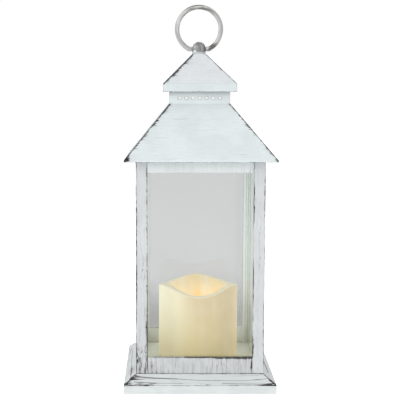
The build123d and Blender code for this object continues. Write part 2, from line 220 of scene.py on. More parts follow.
# One antique white in lighter and darker copies per part: the roof's white is set lighter than the posts', painted
# light for the upward slopes; the top rails' white is lighter still, painted light in place of the shade under the
# eave; the bottom rails' white is darker.
WHITE_A = (0.705, 0.765, 0.776)
WHITE_B = (0.655, 0.712, 0.724)
POST_A, POST_B = (0.630, 0.655, 0.668), (0.585, 0.605, 0.618)
RAIL_A, RAIL_B = (0.590, 0.615, 0.620), (0.545, 0.567, 0.572)
TOP_LIT_A, TOP_LIT_B = (0.740, 0.785, 0.785), (0.700, 0.740, 0.740)
DARK = (0.008, 0.006, 0.007)
BROWN = (0.036, 0.029, 0.028)
GREY = (0.34, 0.33, 0.33)


def even(t, n):
    """Spread a noise's bell of values evenly over 0 to 1."""
    return t.step(n, 0.29, 0.71)


def inward_painted_light(t, col):
    """Faces that look into the lantern get a much lighter colour, painted light standing in for light the inside lacks,
    lighter still below z 110 to 60 mm and a warmer cream at the deck's level.
    """
    x, y, z = t.xyz(t.P())
    m = t.m("MAXIMUM", t.m("ABSOLUTE", x), t.m("ABSOLUTE", y))
    inside = t.m("LESS_THAN", m, 54.56)
    painted_lift = t.mix(t.step(z, 110.0, 60.0), (0.905, 0.955, 0.932), (0.945, 0.980, 0.945))
    painted_lift = t.mix(t.step(z, 24.0, 19.0), painted_lift, (0.850, 0.885, 0.778))
    return t.mix(inside, col, painted_lift)


def paint(name, grain="vertical", rest=0.0, edges=(), blobs=(), segs=(), seed=0.0, white=WHITE_A, shade=WHITE_B,
          faint=0.25, fine=1.1, long=16.0, curve=1.0, rough=0.50, extra=None):
    """Antique white paint, dry-brushed over a dark base coat.
    rest   share of the surface where the base coat shows through anywhere
    edges  callables giving (distance in mm, reach of wear, its strength, width of the bare line)
    blobs  (centre, radii, strength): rubbed patches, in mm
    segs   (plane, p0, p1, half width, strength): single dark brush lines; plane is the pair of axes p0 and p1 are in"""
    t = Tree(name)
    P = t.P()
    a, depth, z, side = t.along()
    shift = (seed * 3.17 + 11.3, seed * 1.73 + 5.1, seed * 2.31 + 7.7)
    bend = t.noise(t.vm("ADD", P, shift), 0.045, 2.0, 0.5, color=True)
    bend = t.vm("SCALE", t.vm("SUBTRACT", bend, (0.5, 0.5, 0.5)), scale=5.0 * curve)
    if grain == "vertical":
        g = t.vec(t.mul(a, 1.0 / fine), t.mul(depth, 1.0 / fine), t.mul(z, 1.0 / long))
    else:
        g = t.vec(t.mul(a, 1.0 / long), t.mul(depth, 0.45 / fine), t.mul(z, 1.0 / fine))
    g = t.vm("ADD", t.vm("ADD", g, shift), bend)
    n_brush = t.noise(g, 1.0, 4.0, 0.62)
    n_clump = t.noise(t.vm("SCALE", g, scale=0.37), 1.0, 2.0, 0.5)
    n_hair = t.noise(t.vm("ADD", t.vm("SCALE", g, scale=2.3), (31.0, 17.0, 5.0)), 1.0, 3.0, 0.6)
    n_patch = t.noise(t.vm("ADD", P, shift), 0.040, 2.0, 0.5)
    n_edge = t.noise(t.vm("ADD", P, (seed * 7.1 + 3.0, seed * 2.9, seed * 5.3)), 0.11, 4.0, 0.65)
    soft = None
    for c, r, k in blobs:
        q = t.vm("MULTIPLY", t.vm("SUBTRACT", P, tuple(c)), tuple(1.0 / v for v in r))
        q = t.mul(t.m("SUBTRACT", 1.0, t.vm("LENGTH", q), clamp=True), k * 1.35)
        soft = q if soft is None else t.add(soft, q)
    density = rest if soft is None else t.add(soft, rest)
    # the wear runs out in fine teeth along the brush strokes
    teeth = t.m("POWER", t.add(t.mul(even(t, n_brush), 0.75), t.mul(even(t, n_hair), 0.75)), 2.4)
    teeth = t.add(t.mul(teeth, 0.9), 0.50)
    bare = None
    for make in edges:
        d, reach, strength, width = make(t)
        near = t.m("SUBTRACT", 1.0, t.m("DIVIDE", d, t.mul(reach, t.step(n_edge, 0.32, 0.68, 0.3, 1.5))), clamp=True)
        density = t.add(density, t.mul(near, strength))
        if width:
            w = t.step(n_edge, 0.34, 0.66, 0.55, 1.15)
            if soft is not None:
                w = t.add(w, t.mul(soft, 1.3))
            w = t.mul(w, teeth, width)
            line = t.m("SUBTRACT", 1.35, t.m("DIVIDE", d, w), clamp=True)
            line = t.m("MULTIPLY", line, 1.6, clamp=True)
            bare = line if bare is None else t.m("MAXIMUM", bare, line)
    for plane, p0, p1, half, k in segs:
        comp = dict(zip("xyz", t.xyz(P)))
        u, v = comp[plane[0]], comp[plane[1]]
        dx, dy = p1[0] - p0[0], p1[1] - p0[1]
        ll = dx * dx + dy * dy
        h = t.m("DIVIDE", t.add(t.mul(t.sub(u, p0[0]), dx), t.mul(t.sub(v, p0[1]), dy)), ll, clamp=True)
        ex = t.sub(u, t.add(t.mul(h, dx), p0[0]))
        ey = t.sub(v, t.add(t.mul(h, dy), p0[1]))
        d = t.two_edge(ex, ey)
        if len(plane) > 2:      # only on the side of the piece that faces this way
            ax, sign = plane[2], (1.0 if plane[3] == "+" else -1.0)
            d = t.add(d, t.mul(t.m("LESS_THAN", t.mul(comp[ax], sign), 0.0), 99.0))
        w = t.mul(t.step(n_clump, 0.30, 0.62, 0.35, 1.25), half)
        line = t.m("SUBTRACT", 1.3, t.m("DIVIDE", d, w), clamp=True)
        line = t.mul(line, k)
        if len(plane) > 2:      # past a corner of the piece the same wear dies away
            past = t.sub(t.m("ABSOLUTE", u), t.m("ABSOLUTE", comp[ax]))
            past = t.sub(past, t.mul(t.sub(even(t, n_brush), 0.5), 5.0))
            line = t.mul(line, t.step(past, 6.0, 1.5))
        bare = line if bare is None else t.m("MAXIMUM", bare, line)
    density = t.m("MINIMUM", t.mul(density, t.step(n_clump, 0.32, 0.66, 0.45, 1.45)), 0.80)
    n = t.add(t.mul(even(t, n_brush), 0.55), t.mul(even(t, n_hair), 0.45))
    worn = t.step(t.add(n, density), 0.90, 1.16)
    if bare is not None:
        bare = t.mul(bare, t.step(even(t, n_hair), 0.02, 0.30, 0.60, 1.0))
        worn = t.m("MAXIMUM", worn, bare, clamp=True)
    # thin places where the base coat greys the white without breaking through
    drag = t.add(t.mul(n_brush, 0.65), t.mul(n_clump, 0.35), t.mul(density, 0.16))
    veil = t.mul(t.step(drag, 0.46, 0.66), t.add(t.mul(density, 0.75), faint))
    if extra is inward_painted_light:
        calm = t.m("LESS_THAN", t.m("MAXIMUM", t.m("ABSOLUTE", t.xyz(P)[0]), t.m("ABSOLUTE", t.xyz(P)[1])), 54.56)
        worn = t.mul(worn, t.sub(1.0, t.mul(calm, 0.85)))
        veil = t.mul(veil, t.sub(1.0, t.mul(calm, 0.75)))
    col = t.mix(t.step(n_patch, 0.35, 0.65), white, shade)
    col = t.mix(t.mul(t.step(n_hair, 0.40, 0.62), 0.18), col, tuple(v * 0.86 for v in shade))
    if extra is not None:
        col = extra(t, col)
    col = t.mix(t.m("MINIMUM", veil, 0.72), col, GREY)
    col = t.mix(t.mul(worn, 0.985), col, t.mix(t.step(n_clump, 0.36, 0.62), DARK, BROWN))
    r = t.add(t.mul(n_hair, 0.22), t.mul(worn, 0.12), rough - 0.11)
    height = t.sub(t.add(t.mul(n_brush, 0.8), t.mul(n_hair, 0.35)), t.mul(worn, 0.6))
    t.principled(Base_Color=col, Roughness=r, Normal=t.bump(height, 0.35, 0.00040),
                 Specular_IOR_Level=t.step(worn, 0.0, 1.0, 0.40, 0.10))
    return t.mat


# edge makers: each gives distance, reach, strength, bare line width ------------
def edge_box(lo, hi, reach=3.0, strength=0.30, width=0.35):
    return lambda t: (t.box_edges(lo, hi), reach, strength, width)


def all_edges(node, **kw):
    lo, hi = mm_box(node)
    return edge_box(lo, hi, **kw)


def edge_hip(reach=6.0, strength=0.35, width=0.8, low=None, right=1.0):
    """The four slanting edges, where |x| equals |y|; right scales the wear on the +x side."""
    def f(t):
        x, y, z = t.xyz(t.P())
        d = t.mul(t.m("ABSOLUTE", t.sub(t.m("ABSOLUTE", x), t.m("ABSOLUTE", y))), 0.82)
        if low is not None:
            d = t.add(d, t.mul(t.m("LESS_THAN", z, low), 60.0))
        gain = t.sub(1.0, t.mul(t.m("GREATER_THAN", x, 0.0), 1.0 - right))
        return d, reach, t.mul(gain, strength), t.mul(gain, width)
    return f


def edge_level(zc, reach=2.0, strength=0.3, width=0.4):
    def f(t):
        x, y, z = t.xyz(t.P())
        return t.m("ABSOLUTE", t.sub(z, zc)), reach, strength, width
    return f


# --------------------------------------------------------------------------
# Painted shell parts
# --------------------------------------------------------------------------
b_lo, b_hi = mm_box("post_front_left")
HW = -b_lo[0]
POST_BLOBS = {
    "post_front_left": [((-54, -HW, 24), (9, 9, 26), 0.36), ((-48, -HW, 58), (2.2, 6, 30), 0.62), ((-57.5, -HW, 34), (3, 8, 26), 0.30),
                        ((-HW, -HW, 150), (2.4, 2.4, 40), 0.30), ((-HW, -HW, 100), (2.4, 2.4, 34), 0.42), ((-52, -HW, 112), (3, 6, 34), 0.16),
                        ((-HW, -50, 40), (9, 9, 34), 0.35)],
    "post_front_right": [((48, -HW, 177), (1.6, 5, 27), 0.60), ((48, -HW, 103), (1.6, 5, 22), 0.62), ((48, -HW, 41), (1.8, 5, 12), 0.66),
                         ((HW, -HW, 178), (2.2, 2.2, 24), 0.45), ((HW, -HW, 66), (2.2, 2.2, 40), 0.30), ((54, -HW, 140), (4, 6, 60), 0.10),
                         ((HW, -50, 46), (9, 9, 34), 0.35)],
    "post_rear_left": [((-54, HW, 36), (9, 9, 30), 0.42), ((-HW, 50, 30), (9, 9, 30), 0.42), ((-48, HW, 150), (2.2, 6, 40), 0.5)],
    "post_rear_right": [((54, HW, 30), (9, 9, 30), 0.45), ((HW, 50, 36), (9, 9, 36), 0.42), ((48, HW, 90), (2.2, 6, 40), 0.5)],
}
POST_SEGS = {"post_front_left": [
    ("xzy-", (-48.4, 62), (-48.2, 40), 0.50, 0.85), ("xzy-", (-48.6, 45), (-52.0, 33), 0.34, 0.65), ("xzy-", (-52.0, 33), (-55.0, 25), 0.34, 0.65),
    ("xzy-", (-55.0, 25), (-57.2, 18), 0.30, 0.60), ("xzy-", (-49.6, 36), (-53.2, 26), 0.26, 0.50), ("xzy-", (-53.2, 26), (-56.0, 17), 0.28, 0.50),
    ("xzy-", (-49.0, 28), (-51.6, 18), 0.30, 0.60), ("xzy-", (-50.8, 78), (-49.4, 54), 0.24, 0.45), ("xzy-", (-54.6, 58), (-56.4, 38), 0.22, 0.40)]}
for i, n in enumerate(sorted(POST_BLOBS)):
    assign(n, paint("paint_" + n, "vertical", 0.015, [all_edges(n, reach=1.5, strength=0.22, width=0.50 if n == "post_front_left" else 0.40)],
                    POST_BLOBS[n], POST_SEGS.get(n, []), seed=3.0 + i, faint=0.26, fine=0.90, long=34, curve=1.5, white=POST_A, shade=POST_B, extra=inward_painted_light))
FRONT = "xzy-"
RAIL_BLOBS = {
    "bottom_rail_front": [((43, -HW, 34.5), (13, 6, 6.5), 0.62), ((20, -HW, 34), (36, 6, 3.0), 0.44), ((47.5, -HW, 24), (1.6, 6, 11), 0.45),
                          ((-44, -HW, 21), (14, 6, 12), 0.14), ((20, -HW, 24), (28, 6, 9), 0.10), ((-30, -HW, 17), (26, 6, 3), 0.06)],
    "bottom_rail_rear": [((-30, HW, 31), (30, 6, 8), 0.6), ((20, HW, 18), (24, 6, 6), 0.3)],
    "bottom_rail_left": [((-HW, 30, 31), (6, 26, 8), 0.6), ((-HW, -34, 20), (6, 20, 8), 0.35)],
    "bottom_rail_right": [((HW, -30, 31), (6, 28, 8), 0.6), ((HW, 34, 20), (6, 18, 8), 0.35)],
    "top_rail_front": [((44, -HW, 203), (12, 6, 7), 0.20)],
    "top_rail_rear": [((-20, HW, 203), (20, 6, 6), 0.3)],
    "top_rail_left": [((-HW, 20, 203), (6, 20, 6), 0.3)],
    "top_rail_right": [((HW, -20, 203), (6, 20, 6), 0.3)],
}
for i, n in enumerate(sorted(RAIL_BLOBS)):
    low = n.startswith("bottom")
    assign(n, paint("paint_" + n, "vertical", 0.05 if low else 0.0,
                    [] if n == "bottom_rail_rear" else
                    [all_edges(n, reach=2.0 if low else 1.0, strength=0.22 if low else 0.10, width=0.26 if low else 0.08)],
                    RAIL_BLOBS[n], [(FRONT, (-14, mm_box(n)[1][2] - 0.2), (48, mm_box(n)[1][2] - 0.2), 0.62, 0.95),
                                     (FRONT, (-42, mm_box(n)[1][2] - 0.2), (-14, mm_box(n)[1][2] - 0.2), 0.34, 0.60),
                                     (FRONT, (14, mm_box(n)[1][2] - 0.7), (47.6, mm_box(n)[1][2] - 0.9), 0.80, 0.95),
                                     (FRONT, (47.4, mm_box(n)[1][2] - 1.0), (47.2, mm_box(n)[1][2] - 7.5), 0.60, 0.80)] if n == "bottom_rail_front" else [],
                    seed=11.0 + i, faint=0.56 if low else 0.18, fine=0.80, long=11 if low else 14,
                    curve=0.5, white=RAIL_A if low else TOP_LIT_A, shade=RAIL_B if low else TOP_LIT_B, extra=inward_painted_light))

# plinth: sloped top with mitred corners, plain band below
BAND = 8.0


def edge_mitre(t):
    x, y, z = t.xyz(t.P())
    d = t.mul(t.m("ABSOLUTE", t.sub(t.m("ABSOLUTE", x), t.m("ABSOLUTE", y))), 0.75)
    off = t.mul(t.m("LESS_THAN", z, BAND - 0.3), 60.0)
    inside = t.mul(t.m("LESS_THAN", t.m("MAXIMUM", t.m("ABSOLUTE", x), t.m("ABSOLUTE", y)), HW - 0.5), 60.0)
    return t.add(d, off, inside), 3.6, 0.34, 0.50


def edge_bandline(t):
    x, y, z = t.xyz(t.P())
    far = t.m("ABSOLUTE", t.sub(z, BAND))
    below = t.mul(t.m("LESS_THAN", z, BAND - 0.30), 60.0)
    return t.add(far, below), 1.2, 0.20, 0.085


def edge_bodyline(t):
    x, y, z = t.xyz(t.P())
    d = t.m("ABSOLUTE", t.sub(t.m("MAXIMUM", t.m("ABSOLUTE", x), t.m("ABSOLUTE", y)), HW))
    return d, 0.9, 0.22, 0.17


assign("plinth", paint("paint_plinth", "horizontal", 0.0, [edge_mitre, edge_bandline, edge_bodyline],
                       [((-66, -66, 11), (7, 7, 8), 0.26), ((-60, -62, 13), (13, 8, 4.5), 0.34), ((-56, -68, 8.6), (22, 5, 1.7), 0.62),
                        ((66, -66, 11), (6, 6, 7), 0.50), ((64, -68.5, 8.4), (13, 4, 1.5), 0.75), ((-64, -36, 12), (7, 26, 5), 0.34),
                        ((-62, 44, 12), (9, 30, 6), 0.46), ((64, 36, 12), (9, 30, 6), 0.40), ((10, 64, 12), (46, 9, 5), 0.30)],
                       [(FRONT, (-62, 14.3), (-44, 13.0), 0.42, 0.85), (FRONT, (-44, 13.0), (-20, 12.3), 0.40, 0.85),
                        (FRONT, (-20, 12.3), (2, 11.4), 0.38, 0.85), (FRONT, (2, 11.4), (38, 11.2), 0.38, 0.90),
                        (FRONT, (38, 11.2), (56, 12.1), 0.36, 0.80), (FRONT, (56, 12.1), (62, 12.9), 0.30, 0.70),
                        (FRONT, (-60, 10.4), (-40, 9.6), 0.32, 0.70), (FRONT, (-40, 9.6), (-16, 9.5), 0.22, 0.45),
                        (FRONT, (20, 9.3), (60, 8.9), 0.30, 0.55), (FRONT, (30, 14.2), (54, 14.6), 0.20, 0.35),
                        ("yzx-", (-50, 12.0), (40, 11.2), 0.40, 0.80), ("yzx+", (-40, 11.4), (52, 12.2), 0.40, 0.80),
                        ("xzy+", (-50, 11.6), (44, 12.0), 0.40, 0.80)],
                       seed=31.0, faint=0.20, fine=0.8, long=26, curve=0.8, white=(0.705, 0.742, 0.745), shade=(0.655, 0.690, 0.695), extra=inward_painted_light))

# roof
r_lo, r_hi = mm_box("roof_shell")
n_lo, n_hi = mm_box("vent_neck")
assign("roof_shell", paint("paint_roof", "horizontal", 0.0,
                           [edge_hip(4.0, 0.36, 1.30, right=0.85), edge_level(r_lo[2], 0.7, 0.18, 0.20)],
                           [((-68, -68, 213), (7, 7, 6), 0.62), ((68, -68, 213), (6, 6, 5), 0.42), ((-58, -58, 226), (7, 7, 12), 0.16),
                            ((-40, -40, 247), (6, 6, 10), 0.14), ((60, -60, 223), (6, 6, 14), 0.30), ((44, -44, 240), (5, 5, 9), 0.16), ((-68, 68, 213), (9, 9, 8), 0.5),
                            ((68, 68, 213), (9, 9, 8), 0.6)],
                           [(FRONT, (r_lo[0] + 0.8, 213.2), (n_lo[0] - 0.2, r_hi[2] - 0.5), 0.40, 0.85),
                            (FRONT, (r_hi[0] - 0.8, 213.2), (n_hi[0] + 0.2, r_hi[2] - 0.5), 0.30, 0.75),
                            (FRONT, (-25, 248.4), (-12, 248.8), 0.22, 0.28), (FRONT, (-40, 232.0), (-31, 232.2), 0.20, 0.26),
                            (FRONT, (28, 218.0), (42, 217.6), 0.22, 0.28), (FRONT, (2, 239.0), (16, 239.3), 0.18, 0.16)],
                           seed=41.0, faint=0.13, fine=0.62, long=6, curve=0.25))


# neck: each dimple gets a near-white centre and a beige ring round it
VENT_Z = 267.6
PITCH = 6.17


def dimples(t, col):
    a, depth, z, side = t.along()
    k = t.m("ROUND", t.m("DIVIDE", a, PITCH))
    k = t.m("MINIMUM", t.m("MAXIMUM", k, -3.0), 3.0)
    r = t.two_edge(t.sub(a, t.mul(k, PITCH)), t.sub(z, VENT_Z))
    col = t.mix(t.mul(t.step(r, 1.50, 1.05), 0.85), col, (0.93, 0.94, 0.92))
    band = t.mul(t.step(r, 1.15, 1.50), t.step(r, 2.20, 1.75))
    ring_fade = t.step(t.noise(t.vec(t.mul(k, 3.7), 2.0, side), 1.0, 1.0, 0.5), 0.35, 0.62, 0.10, 0.50)
    return t.mix(t.mul(band, ring_fade), col, (0.40, 0.35, 0.30))


assign("vent_neck", paint("paint_neck", "horizontal", 0.0, [edge_hip(1.0, 0.10, 0.05)], [], [], seed=47.0, faint=0.10, fine=0.9,
                          long=14, curve=0.3, extra=dimples))
c_lo, c_hi = mm_box("cap")


def skirt_painted_shade(t, col):
    """The upright skirt under the cap's slopes gets a slightly greyer copy of the coat, painted shade for the upright
    face.
    """
    low = t.m("LESS_THAN", t.xyz(t.P())[2], 281.0)
    return t.mix(low, col, t.mix(1.0, col, (0.925, 0.960, 0.945), "MULTIPLY"))


assign("cap", paint("paint_cap", "horizontal", 0.0, [edge_hip(3.4, 0.26, 1.90, low=280.0, right=0.42), edge_hip(0.8, 0.1, 0.15),
                                                     edge_level(c_lo[2], 0.6, 0.2, 0.20)],
                    [((-14, -14, 300), (7, 7, 7), 0.12), ((-23, -23, 291), (7, 7, 9), 0.20), ((-31, -31, 284), (6, 6, 6), 0.20),
                     ((20, -20, 295), (4, 4, 12), 0.15)],
                    [(FRONT, (c_lo[0] + 1.2, 282.2), (-9.0, c_hi[2] - 3.0), 0.75, 0.95), (FRONT, (-28.6, 285.2), (-23.0, 290.8), 1.05, 0.95),
                     (FRONT, (-23.0, 290.8), (-15.4, 298.4), 1.25, 0.95)],
                    seed=53.0, faint=0.13, fine=0.62, long=5, curve=0.25, white=(0.708, 0.742, 0.768),
                    shade=(0.662, 0.692, 0.712), extra=skirt_painted_shade))
assign("ceiling_plate", paint("paint_ceiling", "horizontal", 0.0, [], [], [], seed=59.0, faint=0.15))


# --------------------------------------------------------------------------
# Knob and ring
# --------------------------------------------------------------------------
r_lo2, r_hi2 = mm_box("handle_ring")
RING_CZ = r_hi2[2] - (r_hi2[0] - r_lo2[0]) / 2
t = Tree("paint_ring")
P = t.P()
x, y, z = t.xyz(P)
dz = t.sub(z, RING_CZ)
ang = t.m("ARCTAN2", dz, x)
rad = t.two_edge(x, dz)
q = t.vm("ADD", t.vec(t.mul(ang, 2.6), t.mul(rad, 0.95), t.mul(y, 0.95)), (5.0, 10.0, 15.0))
n1 = t.noise(q, 1.0, 4.0, 0.6)
n2 = t.noise(t.vm("SCALE", q, scale=0.45), 1.0, 2.0, 0.5)
top = t.mul(t.step(dz, 9.0, 20.0), t.step(x, -19.0, -8.0), 0.16)
low = t.mul(t.step(dz, -9.0, -15.0), t.step(x, 6.0, 11.0), 0.24)
inner = t.mul(t.step(rad, 20.6, 18.6), 0.06)
level = t.add(t.mul(n1, 0.6), t.mul(n2, 0.4), top, low, inner)
worn = t.step(level, 0.60, 0.76)
col = t.mix(t.step(n2, 0.38, 0.62), (0.560, 0.565, 0.552), (0.400, 0.402, 0.395))
# painted shade: the ring's outer edge darkens on its +x side
col = t.mix(t.mul(t.step(rad, 20.2, 22.4), t.step(x, 8.0, 16.0), 0.45), col, (0.34, 0.34, 0.34))
col = t.mix(t.mul(t.step(n1, 0.46, 0.62), 0.45), col, (0.30, 0.30, 0.295))
col = t.mix(t.mul(worn, 0.90), col, (0.085, 0.068, 0.062))
t.principled(Base_Color=col, Roughness=t.add(t.mul(n1, 0.25), 0.34), Normal=t.bump(t.sub(n1, t.mul(worn, 0.6)), 0.4, 0.0003),
             Specular_IOR_Level=0.5)
assign("handle_ring", t.mat)

t = Tree("paint_knob")
P = t.P()
x, y, z = t.xyz(P)
k_lo, k_hi = mm_box("knob")
q = t.vm("ADD", t.vec(t.mul(x, 0.62), t.mul(y, 0.62), t.mul(z, 0.12)), (4.3, 1.1, 9.0))
n1 = t.noise(q, 1.0, 3.0, 0.6)
n2 = t.noise(t.vm("ADD", P, (1.0, 7.0, 2.0)), 0.30, 2.0, 0.5)
col = t.mix(t.step(n1, 0.40, 0.62), (0.300, 0.305, 0.305), (0.165, 0.163, 0.163))
band = t.mul(t.step(x, -1.6, -0.8), t.step(x, 0.6, -0.2))
col = t.mix(t.mul(band, 0.42), col, (0.13, 0.13, 0.13))
# painted shade darkens the knob's +x side, and a painted highlight pales its −x side, most on the lower shoulder
col = t.mix(t.mul(t.step(x, 3.0, 5.4), 0.70), col, (0.085, 0.08, 0.082))
low = t.step(z, k_hi[2] - 6.2, k_hi[2] - 9.6)
col = t.mix(t.mul(t.step(x, -1.6, -4.8), t.add(t.mul(low, 1.0), 0.50), t.step(n2, 0.62, 0.45)), col, (0.66, 0.71, 0.70))
col = t.mix(t.mul(t.step(z, k_hi[2] - 8.6, k_hi[2] - 11.4), 0.85), col, (0.60, 0.615, 0.63))
t.principled(Base_Color=col, Roughness=t.add(t.mul(n1, 0.2), 0.42), Normal=t.bump(n1, 0.35, 0.0003), Specular_IOR_Level=0.40)
assign("knob", t.mat)


# --------------------------------------------------------------------------
# Glass
# --------------------------------------------------------------------------
frame_low = mm_box("bottom_rail_rear")[1][2] + 1.3
frame_in = -mm_box("post_rear_left")[1][0] - 0.05


def glass(name, end_axis, thin, low=None):
    """thin: tint looking through; low: darker tint at the foot of the pane, painted shade; the cut edges look green and
    nearly solid.
    """
    t = Tree(name)
    nx, ny, nz = t.xyz(t.normal())
    x, y, z = t.xyz(t.P())
    flat = t.step(t.m("ABSOLUTE", ny if end_axis == 0 else nx), 0.5, 0.8)
    film = t.noise(t.P(), 0.02, 2.0, 0.5)
    tint = t.mix(t.step(film, 0.35, 0.65), thin, tuple(v * 0.985 for v in thin))
    if low:
        tint = t.mix(t.step(z, 97.0, 35.0), tint, low)
        # the border that lies against the frame stays clear on the +x side and takes a grey tint, darker towards the
        # bottom, on the −x side, with a dark green line along |x| = 50.7 mm
        rim = t.m("MAXIMUM", t.m("GREATER_THAN", t.m("ABSOLUTE", x), frame_in), t.m("LESS_THAN", z, frame_low))
        tint = t.mix(rim, tint, t.mix(t.m("GREATER_THAN", x, 0.0), t.mix(t.step(z, 120.0, 50.0), (0.850, 0.842, 0.832), (0.750, 0.742, 0.715)), (0.998, 1.0, 0.998)))
        bead = t.m("SUBTRACT", 1.0, t.m("DIVIDE", t.m("ABSOLUTE", t.sub(t.m("ABSOLUTE", x), 50.7)), 0.55), clamp=True)
        tint = t.mix(t.mul(bead, 0.8), tint, (0.480, 0.600, 0.520))
    tint = t.mix(flat, (0.62, 0.80, 0.69), tint)
    b = t.principled(Base_Color=tint, Roughness=0.0, IOR=1.50, Transmission_Weight=1.0, Specular_IOR_Level=0.5)
    clear = t.nt.nodes.new("ShaderNodeBsdfTransparent")
    clear.inputs[0].default_value = (0.985, 0.992, 0.990, 1.0)
    lp = t.nt.nodes.new("ShaderNodeLightPath")
    mix = t.nt.nodes.new("ShaderNodeMixShader")
    t.put(mix.inputs[0], t.m("MAXIMUM", lp.outputs["Is Shadow Ray"], lp.outputs["Is Diffuse Ray"]))
    t.nt.links.new(b.outputs[0], mix.inputs[1])
    t.nt.links.new(clear.outputs[0], mix.inputs[2])
    t.nt.links.new(mix.outputs[0], t.out.inputs["Surface"])
    return t.mat


assign("glass_front", glass("glass_fore", 0, (0.962, 0.970, 0.968)))
# the rear pane's dark grey tint, darker towards its foot, is painted shade standing in for the dimmer backdrop seen
# through the lantern
assign("glass_rear", glass("glass_aft", 0, (0.628, 0.637, 0.640), (0.368, 0.374, 0.366)))
g_side = glass("glass_sides", 1, (0.800, 0.838, 0.818))
assign("glass_left", g_side)
assign("glass_right", g_side)


# --------------------------------------------------------------------------
# Candle: uneven melted rim, open lit well
# --------------------------------------------------------------------------
c_lo, c_hi = mm_box("candle_shell")
R = (c_hi[0] - c_lo[0]) / 2
Z0, ZT = c_lo[2], c_hi[2]
RIM = [(0, 88.4), (30, 86.3), (60, 88.7), (90, 92.0), (120, 88.7), (150, 86.2), (180, 88.4), (210, 91.2), (225, 90.1), (240, 87.0),
       (255, 84.2), (270, 83.1), (285, 84.2), (300, 87.0), (315, 90.1), (330, 91.2)]


def rim_height(deg):
    """Periodic cubic through the rim's heights."""
    a = [p[0] for p in RIM]
    h = [p[1] for p in RIM]
    n = len(RIM)
    deg %= 360.0
    i = max(k for k in range(n) if a[k] <= deg)
    j = (i + 1) % n
    a0, a1 = a[i], a[j] + (360 if j == 0 else 0)
    im, jp = (i - 1) % n, (j + 1) % n
    am = a[im] - (360 if im > i else 0)
    ap = a[jp] + (360 if a[jp] < a1 else 0)
    m0 = (h[j] - h[im]) / (a1 - am)
    m1 = (h[jp] - h[i]) / (ap - a0)
    u = (deg - a0) / (a1 - a0)
    w = a1 - a0
    return ((2 * u ** 3 - 3 * u ** 2 + 1) * h[i] + (u ** 3 - 2 * u ** 2 + u) * w * m0
            + (-2 * u ** 3 + 3 * u ** 2) * h[j] + (u ** 3 - u ** 2) * w * m1)


def wobble(theta, z, k):
    return (math.sin(3 * theta + z * 0.031 + k) * 0.10 + math.sin(5 * theta - z * 0.05 + 2.1 * k) * 0.06
            + math.sin(2 * theta + z * 0.09 + 0.7 * k) * 0.05)


WALL = 5.2
WELL = 64.0
NSEG = 180
rows = []                       # each row: function(theta_deg) -> (radius, z)


def row(fr, fz):
    rows.append((fr, fz))


for k in range(25):             # outside, foot to just under the rim
    u = k / 24.0
    if k == 0:
        row(lambda d: R - 0.8, lambda d: Z0)
    elif k == 1:
        row(lambda d: R - 0.12, lambda d: Z0 + 0.7)
    else:
        row(lambda d, u=u: R - 0.12 + min(0.0, wobble(math.radians(d), u * 70, 0.0) * 0.6 - 0.05),
            lambda d, u=u: Z0 + 0.7 + u * (rim_height(d) - 1.5 - Z0 - 0.7))
for k in range(9):              # rounded lip
    a = math.pi * k / 8.0
    row(lambda d, a=a: R - 0.16 - WALL / 2 + math.cos(a) * (WALL / 2) + min(0.0, wobble(math.radians(d), 70, 0.0) * 0.5),
        lambda d, a=a: rim_height(d) - 1.3 + math.sin(a) * 1.3)
for k in range(1, 13):          # down the inside of the well, flaring a little
    u = k / 12.0
    row(lambda d, u=u: R - 0.16 - WALL - 0.4 * u - 0.25 * math.sin(u * 3.1) + wobble(math.radians(d), u * 30, 1.7) * 0.8,
        lambda d, u=u: rim_height(d) - 1.3 + u * (WELL + 4.0 - rim_height(d) + 1.3))
for k in range(1, 9):           # cove into the well's floor
    a = math.pi / 2 * k / 8.0
    row(lambda d, a=a: R - 0.6 - WALL - 4.2 + 4.2 * math.cos(a), lambda d, a=a: WELL + 4.0 - 4.0 * math.sin(a) + 0.05)
for k in range(1, 11):          # gently dished floor to the lamp's hole
    u = k / 10.0
    row(lambda d, u=u: (R - 7.8) * (1 - u) + 6.3 * u,
        lambda d, u=u: WELL + 0.05 + 0.35 * math.sin(u * 9 + math.radians(d) * 3) * math.sin(math.pi * u))
row(lambda d: 6.12, lambda d: WELL - 0.4)
row(lambda d: 6.12, lambda d: WELL - 2.98)
row(lambda d: 20.0, lambda d: WELL - 2.98)
row(lambda d: R - 2.7, lambda d: WELL - 2.98)
row(lambda d: R - 2.68, lambda d: 40.0)
row(lambda d: R - 2.68, lambda d: Z0 + 0.4)
row(lambda d: R - 2.4, lambda d: Z0)

bm = bmesh.new()
grid = []
for fr, fz in rows:
    ringv = []
    for s in range(NSEG):
        d = 360.0 * s / NSEG
        r, zz = fr(d), fz(d)
        ringv.append(bm.verts.new((r * math.cos(math.radians(d)) / MM, r * math.sin(math.radians(d)) / MM, zz / MM)))
    grid.append(ringv)
for i in range(len(grid)):
    A, B = grid[i], grid[(i + 1) % len(grid)]
    for s in range(NSEG):
        s2 = (s + 1) % NSEG
        bm.faces.new((A[s], A[s2], B[s2], B[s]))
bmesh.ops.recalc_face_normals(bm, faces=bm.faces)
me = bpy.data.meshes.new("candle_pillar")
bm.to_mesh(me)
bm.free()
candle = bpy.data.objects.new("candle_pillar", me)
bpy.context.scene.collection.objects.link(candle)
for f in me.polygons:
    f.use_smooth = True

